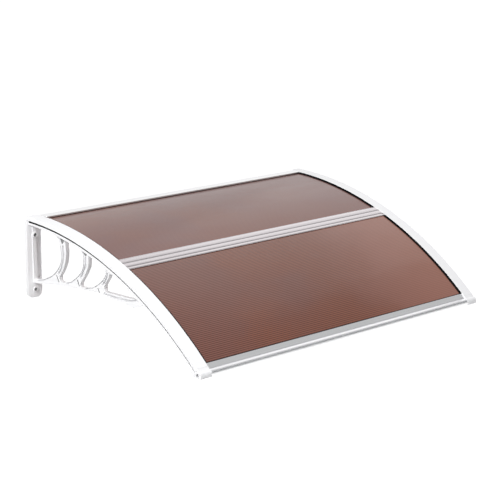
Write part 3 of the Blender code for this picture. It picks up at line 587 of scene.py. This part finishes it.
def flange_section(s):
    """The T-shaped top in (x, h): the sheet's seat, with a lip turned down on each side.

    Inside the nose it is a little smaller, so that no two faces lie in one plane.
    """
    tuck = TUCK if s > FRONT_BAR_START - NOSE_BACK else 0.0
    outer, inner = STRIP_OUTER - tuck, STRIP_INNER + tuck
    neck, lip = STRIP_OUTER - GAP_DEPTH, STRIP_INNER + INNER_LIP_THICK
    under = SEAT_TOP - FLANGE_THICK
    rim = gap_rim(s) - tuck
    return chamfered([
        (inner, SEAT_TOP), (neck, SEAT_TOP), (neck, rim - RIM_SLOPE), (outer - RIM_WIDTH, rim),
        (outer, rim), (outer, -RAIL_LIP_DOWN), (outer - RAIL_LIP_THICK, -RAIL_LIP_DOWN),
        (neck - NECK_THICK, -NECK_DOWN), (neck - NECK_THICK, under), (lip, under),
        (lip, -INNER_LIP_DOWN), (inner, -INNER_LIP_DOWN),
    ], SOFT)


def front_point(out, down):
    """(out, up) of a place given from the sheet's top face at the front bar's start."""
    start = arc_point(FRONT_BAR_START, 0.0)
    return start[0] + out, start[1] - down


NOSE_OUT, NOSE_RADIUS, LEDGE_DOWN, LIP_DOWN = 0.0305, 0.0040, 0.0120, 0.0315
CROWN_RADIUS = 0.0110
STRIP_UNDER, STRIP_TOP = 0.0034, 0.0054
STRIP_PAST_FRONT = 0.0130
SCREW_OUT, SCREW_DOWN = 0.0150, 0.0235
SCREW_PORT = front_point(SCREW_OUT, SCREW_DOWN)


def nose(bm, place):
    """The bracket's front end, which caps the front bar and holds the sheet's corner, as one solid.

    Its inner part has a tongue over the sheet, under the cover strip. Its outer part leaves the gap
    below the strip's skirt open as far as the strip's end.
    """
    edge, rear = FRONT_BAR_START + FRONT_SHEET_SLOT, FRONT_BAR_START - NOSE_BACK
    tongue, tongue_top = FRONT_BAR_START + FIT, STRIP_UNDER - FIT
    strip_end = FRONT_BAR_START + STRIP_PAST_FRONT + FIT
    front, down = NOSE_OUT + NOSE_COVER, LIP_DOWN + NOSE_COVER
    crown = front_point(front - CROWN_RADIUS, LEDGE_DOWN - NOSE_COVER + CROWN_RADIUS)
    low_front = front_point(front - NOSE_RADIUS, down - NOSE_RADIUS)
    inner = [arc_point(s, h) for s, h in (
        (rear, FLANGE_MIDDLE), (edge - FIT, FLANGE_MIDDLE), (edge, SEAT_TOP), (edge, FIT),
        (tongue, FIT), (tongue, tongue_top), (strip_end, tongue_top))]
    outer = [arc_point(rear, -GAP_BOTTOM), arc_point(strip_end, -GAP_BOTTOM)]
    shared = [
        arc_point(strip_end, STRIP_TOP), *arc_between(crown, CROWN_RADIUS, 90, 0),
        *arc_between(low_front, NOSE_RADIUS, 0, -90), front_point(-NOSE_FOOT, down),
        arc_point(rear, -RAIL_DEPTH + NOSE_RISE),
    ]
    bore, shank = circle(SCREW_PORT, BORE_RADIUS), circle(SCREW_PORT, SHANK_RADIUS)
    step, seat = STRIP_OUTER - GAP_DEPTH + TUCK, BODY_OUTER - BORE_SEAT

    whole, short = inner + shared + outer[:1], outer + shared
    whole_rim, short_rim, bore_rim = grown(whole, -SOFT), grown(short, -SOFT), grown(bore, SOFT)
    side_level = STRIP_OUTER - SOFT
    inner_levels = (STRIP_INNER, STRIP_INNER + SOFT, step)
    bore_levels = (seat, side_level, STRIP_OUTER)
    low, middle = tube(bm, place, (whole_rim, whole, whole), inner_levels)
    high, top = tube(bm, place, (short, short_rim), (side_level, STRIP_OUTER))
    # The screw's shank hole and bore walls are painted in shade, the hole deeper
    shank_low, shank_top = tube(bm, place, (shank, shank), (STRIP_INNER, seat), DEEP_SHADE)
    bore_low, mouth = tube(bm, place, (bore, bore, bore_rim), bore_levels, SHADE)
    # The step between the two parts is one flat face, whose far corner the outer part has alone
    corner = bm.verts.new(place(outer[1], step))
    cap(bm, [whole_rim, shank], [low, shank_low])
    cap(bm, [bore, shank], [bore_low, shank_top])
    cap(bm, [short_rim, bore_rim], [top, mouth])
    count = len(inner)
    cap(bm, [inner + outer[::-1]], [middle[:count] + [corner, middle[-1]]])
    base = [middle[-1], corner, *middle[count:-1]]
    for i, j in zip(range(len(base)), [*range(1, len(base)), 0]):
        side = [middle[count - 1]] if base[i] is corner else []
        bm.faces.new([base[i], *side, base[j], high[j], high[i]])


def plate_outline():
    """The wall plate's outline in (x, up), with room for the wall bar at its top."""
    top, notch, notch_side = -SKIRT_BOTTOM - FIT, -PLATE_NOTCH_DOWN, STRIP_INNER + FIT
    corner = -EAR_SHOULDER - EAR_CUT_DOWN
    return [
        (PLATE_INNER, notch), (notch_side, notch), (notch_side, top), (HALF_WIDTH, top),
        (HALF_WIDTH, -EAR_SHOULDER), (HALF_WIDTH - EAR_CUT_IN, corner),
        (BODY_CENTRE + EAR_HALF, -EAR_BOTTOM), (BODY_CENTRE - EAR_HALF, -EAR_BOTTOM),
        (PLATE_INNER + EAR_CUT_IN, corner), (PLATE_INNER, -EAR_SHOULDER),
    ]


def box(low, high, top, bottom):
    return [(low, -top), (high, -top), (high, -bottom), (low, -bottom)]


def plate_pockets():
    """Trays in the plate's back, and the recess beside the spine in its front."""
    low, high = BODY_OUTER + TRAY_BODY_WALL, HALF_WIDTH - TRAY_RIM
    trays = [(box(low, high, top, bottom), PLATE_FLOOR, 0) for top, bottom in TRAYS]
    recess = box(PLATE_INNER + RECESS_RIM, BODY_INNER, RECESS_TOP, RECESS_BOTTOM)
    return trays, [(recess, RECESS_FLOOR, 0)]


def bracket(name, side, made):
    bm = bmesh.new()
    across, outward = along_x(side), along_y(side)
    openings = [arch_opening(SECOND_REAR, SECOND_FRONT), arch_opening(THIRD_REAR, THIRD_FRONT),
                arch_opening(LEAF_REAR, LEAF_FRONT)]
    low_pockets, high_pockets = (
        [(loop, BODY_CENTRE + way * half, slot) for loop, half, slot in recess_loops()]
        for way in (-1, 1))
    # The walls of the openings are painted in shade
    slab(bm, [body_outline(), *openings], across, BODY_INNER, BODY_OUTER,
         low_pockets, high_pockets, hole_slot=SHADE, soft=SOFT)
    flange_end = FRONT_BAR_START + FRONT_SHEET_SLOT - FIT
    sweep(bm, flange_section, side, s_at_wall(-RAIL_LIP_DOWN), flange_end)

    bolts = [circle((BODY_CENTRE, -down), BOLT_RADIUS) for down in BOLT_DOWNS]
    mouths = [circle((BODY_CENTRE, -down), BOSS_RADIUS - BOSS_OVERLAP) for down in BOLT_DOWNS]
    trays, recesses = plate_pockets()
    slab(bm, [plate_outline(), *mouths], outward, 0.0, PLATE_DEPTH, trays, recesses, soft=SOFT)
    spine = box(BODY_INNER - TUCK / 2, BODY_OUTER + TUCK / 2, SPINE_TOP, SPINE_BOTTOM)
    slab(bm, [spine, mouths[0]], outward, PLATE_DEPTH - SPINE_SUNK, SPINE_OUT, soft=SOFT)
    for down, bolt in zip(BOLT_DOWNS, bolts):
        front = SPINE_OUT + BOSS_PROUD if down == BOLT_DOWNS[0] else PLATE_DEPTH + BOSS_PROUD
        boss = circle((BODY_CENTRE, -down), BOSS_RADIUS)
        # The bolt holes' walls are painted in deep shade
        slab(bm, [boss, bolt], outward, TUCK, front, hole_slot=DEEP_SHADE, soft=SOFT)

    nose(bm, across)
    return piece(bm, name + "_moulding", made, [name])


STRIP_BEVEL, SEAL_BEVEL = 0.0009, 0.0002


def cover_strip(name, side, made):
    skirt = STRIP_OUTER - SKIRT_THICK
    section = [(STRIP_INNER, STRIP_UNDER), (STRIP_INNER, STRIP_TOP), (STRIP_OUTER, STRIP_TOP),
               (STRIP_OUTER, -SKIRT_BOTTOM), (skirt, -SKIRT_BOTTOM), (skirt, STRIP_UNDER)]
    bm = bmesh.new()
    sweep(bm, section, side, s_at_wall(-SKIRT_BOTTOM), FRONT_BAR_START + STRIP_PAST_FRONT)
    return piece(bm, name + "_channel", made, [name], STRIP_BEVEL, segments=3)


def side_seal(name, side, start, end, made):
    """The gasket under a cover strip, with a lip on the sheet and a bead along the strip's edge."""
    tip, tip_top = STRIP_INNER - 0.0067, FIT + 0.0010
    lip_end, lip_top = STRIP_INNER - 0.0024, FIT + 0.0022
    bead_inner, bead_outer, bead_top = STRIP_INNER - 0.0020, STRIP_INNER - FIT, 0.0048
    outer_edge, roof = STRIP_INNER + 0.014, FIT + 0.0028
    section = [(tip, FIT), (tip, tip_top), (lip_end, lip_top), (bead_inner, bead_top),
               (bead_outer, bead_top), (bead_outer, roof), (outer_edge, roof), (outer_edge, FIT)]
    bm = bmesh.new()
    sweep(bm, section, side, start, end)
    return piece(bm, name + "_gasket", made, [name], SEAL_BEVEL)


# Bars. BAR_CORNER is the angle in degrees from which a corner counts as sharp
BAR_SOFT, BAR_CORNER, BAR_SKIN, PORT_RADIUS = 0.0003, 24.0, 0.0016, 0.0023


def extrusion(name, loops, made):
    """A bar of one section. Its sharp corners and the edges of its ends are cut off."""
    bm = bmesh.new()
    loops = [chamfered(loop, BAR_SOFT, BAR_CORNER) for loop in loops]
    slab(bm, loops, along_x(1), -BAR_END, BAR_END, soft=BAR_SOFT)
    return piece(bm, name + "_profile", made, [name], angle=BAR_CORNER)


MIDDLE_CENTRE, MIDDLE_WIDTH = 0.4046, 0.0572
# Rear foot, crest, front foot and height of each ridge. Each is lower than the one behind it, and
# the last two lean forward
RIDGES = ((-0.0266, -0.0155, -0.0040, 0.0028), (-0.0040, 0.0070, 0.0162, 0.0025),
          (0.0162, 0.0255, 0.0282, 0.0017))
RIDGE_STEPS = 20


def middle_bar(made):
    """The bar that joins the two sheets, with a web between them and a lug for a screw."""
    half, low_half, web, lug = MIDDLE_WIDTH / 2, 0.0240, 0.0012, 0.0050
    base, under = FIT + BAR_SKIN, SEAT_TOP - BAR_SKIN
    section = [(-half, FIT), (-half, base)]
    for rear, crest, front, height in RIDGES:
        # Neighbours share a foot, so only the first ridge gives its rear one
        for k in range(0 if rear == RIDGES[0][0] else 1, RIDGE_STEPS + 1):
            turn = math.pi * (1 - k / RIDGE_STEPS)
            reach = crest - rear if k < RIDGE_STEPS / 2 else front - crest
            section.append((crest + reach * math.cos(turn), base + height * math.sin(turn)))
    section += [
        (half, base), (half, FIT), (web, FIT), (web, SEAT_TOP), (low_half, SEAT_TOP),
        (low_half, under), (lug, under), (lug, under - 2 * lug), (-lug, under - 2 * lug),
        (-lug, under), (-low_half, under), (-low_half, SEAT_TOP), (-web, SEAT_TOP), (-web, FIT),
    ]
    outline = [arc_point(MIDDLE_CENTRE + s, h) for s, h in section]
    port = circle(arc_point(MIDDLE_CENTRE, under - lug), PORT_RADIUS)
    return extrusion("middle_bar", [outline, port], made)


def wall_bar(made):
    """The bar along the wall: a box with a sloped top, and a slot for the rear sheet."""
    front, recess, shelf_end = WALL_BAR_DEPTH, WALL_BAR_DEPTH - 0.0030, WALL_BAR_DEPTH - 0.0038
    box_front, slot_rear, slope_front, slope_rear = 0.0300, 0.0180, 0.0260, 0.0020
    top, rear_top, ceiling, lip = 0.0060, 0.0034, 0.0040, 0.0014
    shelf, bottom = SEAT_TOP - 0.002, -0.0240
    outline = [
        (recess, ceiling), (recess, lip), (front, lip), (front, top), (slope_front, top),
        (slope_rear, rear_top), (0.0, rear_top), (0.0, bottom), (box_front, bottom),
        (box_front, shelf), (shelf_end, shelf), (shelf_end, SEAT_TOP), (slot_rear, SEAT_TOP),
        (slot_rear, ceiling),
    ]
    chamber = [(0.0022, 0.0012), (0.0158, 0.0012), (0.0158, -0.0218), (0.0022, -0.0218)]
    port = circle((0.0225, -0.0155), PORT_RADIUS)
    return extrusion("wall_bar", [outline, chamber, port], made)


def front_bar(made, lip_painted_light):
    """The bar along the front: flange, ledge, round edge, groove and drip lip around a box."""
    start, skin, top = FRONT_BAR_START, BAR_SKIN, FIT + BAR_SKIN
    slot_end, box_start, shelf_rear = start + FRONT_SHEET_SLOT, start + 0.003, start - 0.006
    flange_end, dip_start, dip_end, dip, rise = 0.0185, 0.0192, 0.0202, 0.0008, 0.0003
    edge_radius, edge_out, edge_down = 0.0022, NOSE_OUT - 0.0020, LEDGE_DOWN + 0.0012
    groove_out, groove_top, groove_slope, groove_bottom = 0.0235, 0.0158, 0.0004, 0.0198
    lip_cut, lip_inner, floor, port_wall = 0.0010, NOSE_OUT - 0.0045, 0.0290, 0.005
    roof = LEDGE_DOWN + 2 * skin
    origin = arc_point(start, 0.0)
    edge_centre = front_point(edge_out - edge_radius, edge_down)
    box_top = arc_point(box_start, SEAT_TOP - skin)
    box_back = box_top[0] - origin[0]
    outline = [
        arc_point(start, FIT), arc_point(start, top), arc_point(start + flange_end, top),
        arc_point(start + dip_start, top - dip), arc_point(start + dip_end, top - rise),
        *arc_between((edge_centre[0], edge_centre[1] - edge_radius), edge_radius, 90, 0, 14),
        front_point(edge_out, groove_top), front_point(groove_out, groove_top + groove_slope),
        front_point(groove_out, groove_bottom), front_point(NOSE_OUT - lip_cut, groove_bottom),
        front_point(NOSE_OUT, groove_bottom + lip_cut), front_point(NOSE_OUT, LIP_DOWN - lip_cut),
        front_point(NOSE_OUT - lip_cut, LIP_DOWN), front_point(lip_inner, LIP_DOWN),
        front_point(lip_inner, floor), front_point(box_back, floor), box_top,
        arc_point(shelf_rear, SEAT_TOP - skin), arc_point(shelf_rear, SEAT_TOP),
        arc_point(slot_end, SEAT_TOP), arc_point(slot_end, FIT),
    ]
    # The chamber's floor runs around the screw port
    level = floor - skin
    foot = math.degrees(math.asin((SCREW_DOWN - level) / port_wall))
    chamber = [
        front_point(box_back + skin, level), *arc_between(SCREW_PORT, port_wall, 180 - foot, foot),
        front_point(groove_out - skin, level), front_point(groove_out - skin, roof),
        front_point(flange_end, roof),
        arc_point(slot_end + skin, FIT - skin), arc_point(slot_end + skin, SEAT_TOP - 2 * skin),
        arc_point(box_start + skin, SEAT_TOP - 2.5 * skin),
    ]
    shown = extrusion("front_bar", [outline, chamber, circle(SCREW_PORT, PORT_RADIUS)], made)
    shown.data.materials.append(lip_painted_light)
    # The drip lip's faces take the paler metal, painted light on one part of the same bar
    lip_back, lip_top = origin[0] + groove_out + 0.0004, origin[1] - groove_bottom + 0.0002
    for face in shown.data.polygons:
        if -face.center.y > lip_back and face.center.z < lip_top and abs(face.normal.x) < 0.5:
            face.material_index = 1
    return shown


def front_bead_and_shade(made):
    """The soft black bead that lies on the sheet along the front bar's rear edge, which also stands
    in for the shade line there.
    """
    bm = bmesh.new()
    corners = [(-0.0026, FIT), (-0.0022, 0.0011), (-FIT, 0.0015), (-FIT, FIT)]
    loop = [arc_point(FRONT_BAR_START + s, h) for s, h in corners]
    slab(bm, [loop], along_x(1), -BAR_END, BAR_END)
    return piece(bm, "front_bead_and_shade", made)


def gap_seal_and_shade(name, side, made):
    """A black seal in the gap between the cover strip's skirt and the rail, which also stands in
    for the gap's shade.
    """
    outer, inner, top = STRIP_OUTER - 0.0040, STRIP_OUTER - 0.0072, -0.0064
    past_rim, slope = 0.0018, 0.0010

    def section(s):
        low = gap_rim(s) - past_rim
        return [(outer, top), (outer, low), (inner, low - slope), (inner, top)]

    lowest = min(h for _, h in section(0.0))
    bm = bmesh.new()
    sweep(bm, section, side, s_at_wall(lowest), FRONT_BAR_START + STRIP_PAST_FRONT - FIT)
    return piece(bm, name, made)


FLUTE_PITCH, FLUTE_WALL, SHEET_SKIN, FLUTE_SAG = 0.0066, 0.0006, 0.0006, 0.00005
FLUTE_STEPS = 6
# Where the sheets begin and end: under the wall bar, around the middle bar's web, in the front bar
SHEET_START, SHEET_APART, SHEET_IN_FRONT = -0.0318, 0.0022, 0.011


def sheet(name, start, end, made):
    """A twin-wall sheet with open flutes. Its outer faces sag a little between the flute walls.

    Its UV map counts flutes, for the material's ribs.
    """
    count = int((end - start - FLUTE_WALL) / FLUTE_PITCH)
    first = start + (end - start - count * FLUTE_PITCH) / 2
    steps = range(count * FLUTE_STEPS + 1)
    places = [start] + [first + FLUTE_PITCH * k / FLUTE_STEPS for k in steps] + [end]

    def face(h, sag):
        return [arc_point(s, h + sag * math.sin(math.pi * (s - first) / FLUTE_PITCH) ** 2)
                for s in places]

    loops = [face(0.0, -FLUTE_SAG) + face(-SHEET_THICK, FLUTE_SAG)[::-1]]
    floor, roof = -SHEET_THICK + SHEET_SKIN, -SHEET_SKIN
    for i in range(count):
        rear = first + i * FLUTE_PITCH + FLUTE_WALL / 2
        front = rear + FLUTE_PITCH - FLUTE_WALL
        loops.append([arc_point(s, h) for s, h in
                      ((rear, roof), (front, roof), (front, floor), (rear, floor))])
    bm = bmesh.new()
    slab(bm, loops, along_x(1), -SHEET_HALF, SHEET_HALF)
    shown = piece(bm, name + "_twinwall", made, [name])
    layer = shown.data.uv_layers.new(name="flutes")
    centre = (WALL_BAR_DEPTH - ARC_RADIUS * math.sin(START_SLOPE),
              -ARC_RADIUS * math.cos(START_SLOPE))
    for loop in shown.data.loops:
        x, y, z = shown.data.vertices[loop.vertex_index].co
        angle = math.atan2(-y - centre[0], z - centre[1])
        s = (angle - START_SLOPE) * ARC_RADIUS
        layer.data[loop.index].uv = (x / FLUTE_PITCH, (s - first) / FLUTE_PITCH)
    return shown


def wall_seal(made):
    """The seal between the wall bar and the sheet, with a rib up into the bar and a thin lip."""
    rib_rear, rib_front, rib_top, top = -0.0047, -0.0033, 0.0037, 0.0011
    lip_end, lip_top = 0.0018, FIT + 0.0005
    corners = [(rib_rear, FIT), (rib_rear, rib_top), (rib_front, rib_top), (rib_front, top),
               (0.0, top), (lip_end, lip_top), (lip_end, FIT)]
    bm = bmesh.new()
    slab(bm, [[arc_point(s, h) for s, h in corners]], along_x(1), -BAR_END, BAR_END)
    return piece(bm, "wall_seal_gasket", made, ["wall_seal"], SEAL_BEVEL)


# Studio

def make_camera():
    azimuth, elevation = CAMERA_AZIMUTH, CAMERA_ELEVATION
    back = Vector((
        math.sin(azimuth) * math.cos(elevation),
        -math.cos(azimuth) * math.cos(elevation),
        math.sin(elevation),
    ))
    level = (-back).cross(Vector((0, 0, 1))).normalized()
    upright = level.cross(-back)
    right = math.cos(CAMERA_ROLL) * level + math.sin(CAMERA_ROLL) * upright
    up = math.cos(CAMERA_ROLL) * upright - math.sin(CAMERA_ROLL) * level
    data = bpy.data.cameras.new("camera")
    data.sensor_width = SENSOR
    data.lens = FOCAL_LENGTH
    data.clip_end = CLIP_END
    camera = new_object("camera", data)
    turn = Matrix((right, up, back)).transposed().to_4x4()
    camera.matrix_world = Matrix.Translation(CAMERA_PLACE) @ turn
    bpy.context.scene.camera = camera


def seen_white(nodes):
    """1 for the rays that show the background: camera, gloss and transmission rays."""
    path = nodes.add("LightPath")
    seen = nodes.math("MAXIMUM", path.outputs["Is Camera Ray"], path.outputs["Is Glossy Ray"])
    return nodes.math("MAXIMUM", seen, path.outputs["Is Transmission Ray"])


def make_world():
    """White to the camera, a gradient in gloss, and dim as a light."""
    world = bpy.data.worlds.new("studio")
    world.use_nodes = True
    bpy.context.scene.world = world
    nodes = Nodes(world.node_tree)
    shader = world.node_tree.nodes["Background"]
    shader.inputs["Color"].default_value = (1, 1, 1, 1)
    path = nodes.add("LightPath")
    seen = nodes.math("MAXIMUM", path.outputs["Is Camera Ray"], path.outputs["Is Transmission Ray"])
    place = nodes.add("SeparateXYZ", Vector=nodes.add("TexCoord").outputs["Generated"])
    gradient = nodes.span(place.outputs[1], GLOSS_FROM, GLOSS_TO, GLOSS_FRONT, GLOSS_BACK)
    gloss = nodes.math("MULTIPLY", path.outputs["Is Glossy Ray"], gradient)
    seen = nodes.math("MAXIMUM", seen, gloss)
    nodes.put(shader.inputs["Strength"], nodes.math("MAXIMUM", seen, WORLD_LEVEL))


def make_floor():
    bm = bmesh.new()
    corners = [(-FLOOR_HALF, -FLOOR_HALF), (FLOOR_HALF, -FLOOR_HALF),
               (FLOOR_HALF, FLOOR_HALF), (-FLOOR_HALF, FLOOR_HALF)]
    bm.faces.new([bm.verts.new((x, y, FLOOR_HEIGHT)) for x, y in corners])
    mesh = bpy.data.meshes.new("floor")
    bm.to_mesh(mesh)
    bm.free()
    floor = new_object("floor", mesh)
    grey = (FLOOR_GREY, FLOOR_GREY, FLOOR_GREY, 1)
    made, nodes, shader = new_material(
        "floor_white", Base_Color=grey, Roughness=0.9, Emission_Color=(1, 1, 1, 1))
    glow = nodes.math("MULTIPLY", seen_white(nodes), FLOOR_GLOW)
    nodes.put(shader.inputs["Emission Strength"], glow)
    mesh.materials.append(made)


def make_lamp(name, place, target, size, power):
    data = bpy.data.lights.new(name, "AREA")
    data.size = size
    data.energy = power
    lamp = new_object(name, data)
    aim = (Vector(target) - Vector(place)).to_track_quat("-Z", "Y").to_matrix().to_4x4()
    lamp.matrix_world = Matrix.Translation(place) @ aim


make_camera()
make_world()
make_floor()
for lamp in LAMPS:
    make_lamp(*lamp)
bpy.context.scene.view_settings.view_transform = "Standard"

plastic = white_plastic("white_moulded_plastic", PLASTIC_WHITE)
rubber, screw = black_rubber(), steel()
# The bracket's second and third materials are its plastic darkened as painted shade
bracket_plastic_and_painted_shades = (plastic, white_plastic("white_plastic_painted_shade_channels", CHANNEL_PAINTED_SHADE),
                    white_plastic("white_plastic_painted_shade_slits", SLIT_PAINTED_SHADE))
rear_brown = brown_sheet("brown_polycarbonate_rear", *REAR_BROWN)
front_brown = brown_sheet("brown_polycarbonate_front", *FRONT_BROWN)
edge_metal = aluminium("drawn_aluminium", *EDGE_METAL)
pale_metal = aluminium("pale_aluminium", *PALE_METAL)
ridge_metal_and_pink_reflection = aluminium("ridged_aluminium_painted_pink_reflection", *RIDGE_METAL_AND_PINK_REFLECTION)

for label, side in (("left", -1), ("right", 1)):
    bracket("bracket_" + label, side, bracket_plastic_and_painted_shades)
    cover_strip("cover_strip_" + label, side, plastic)
    gap_seal_and_shade("gap_seal_and_shade_" + label, side, rubber)
    before = MIDDLE_CENTRE - MIDDLE_WIDTH / 2 - FIT
    after = MIDDLE_CENTRE + MIDDLE_WIDTH / 2 + FIT
    side_seal("side_seal_rear_" + label, side, FIT, before, rubber)
    side_seal("side_seal_front_" + label, side, after, FRONT_BAR_START - FIT, rubber)
sheet("sheet_rear", SHEET_START, MIDDLE_CENTRE - SHEET_APART, rear_brown)
sheet("sheet_front", MIDDLE_CENTRE + SHEET_APART, FRONT_BAR_START + SHEET_IN_FRONT, front_brown)
wall_bar(pale_metal)
middle_bar(ridge_metal_and_pink_reflection)
front_bar(edge_metal, pale_metal)
front_bead_and_shade(rubber)
wall_seal(rubber)
# The screws are shown as the CAD has them
for name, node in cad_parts.items():
    if "screw" in name:
        for slot in node.material_slots:
            slot.material = screw
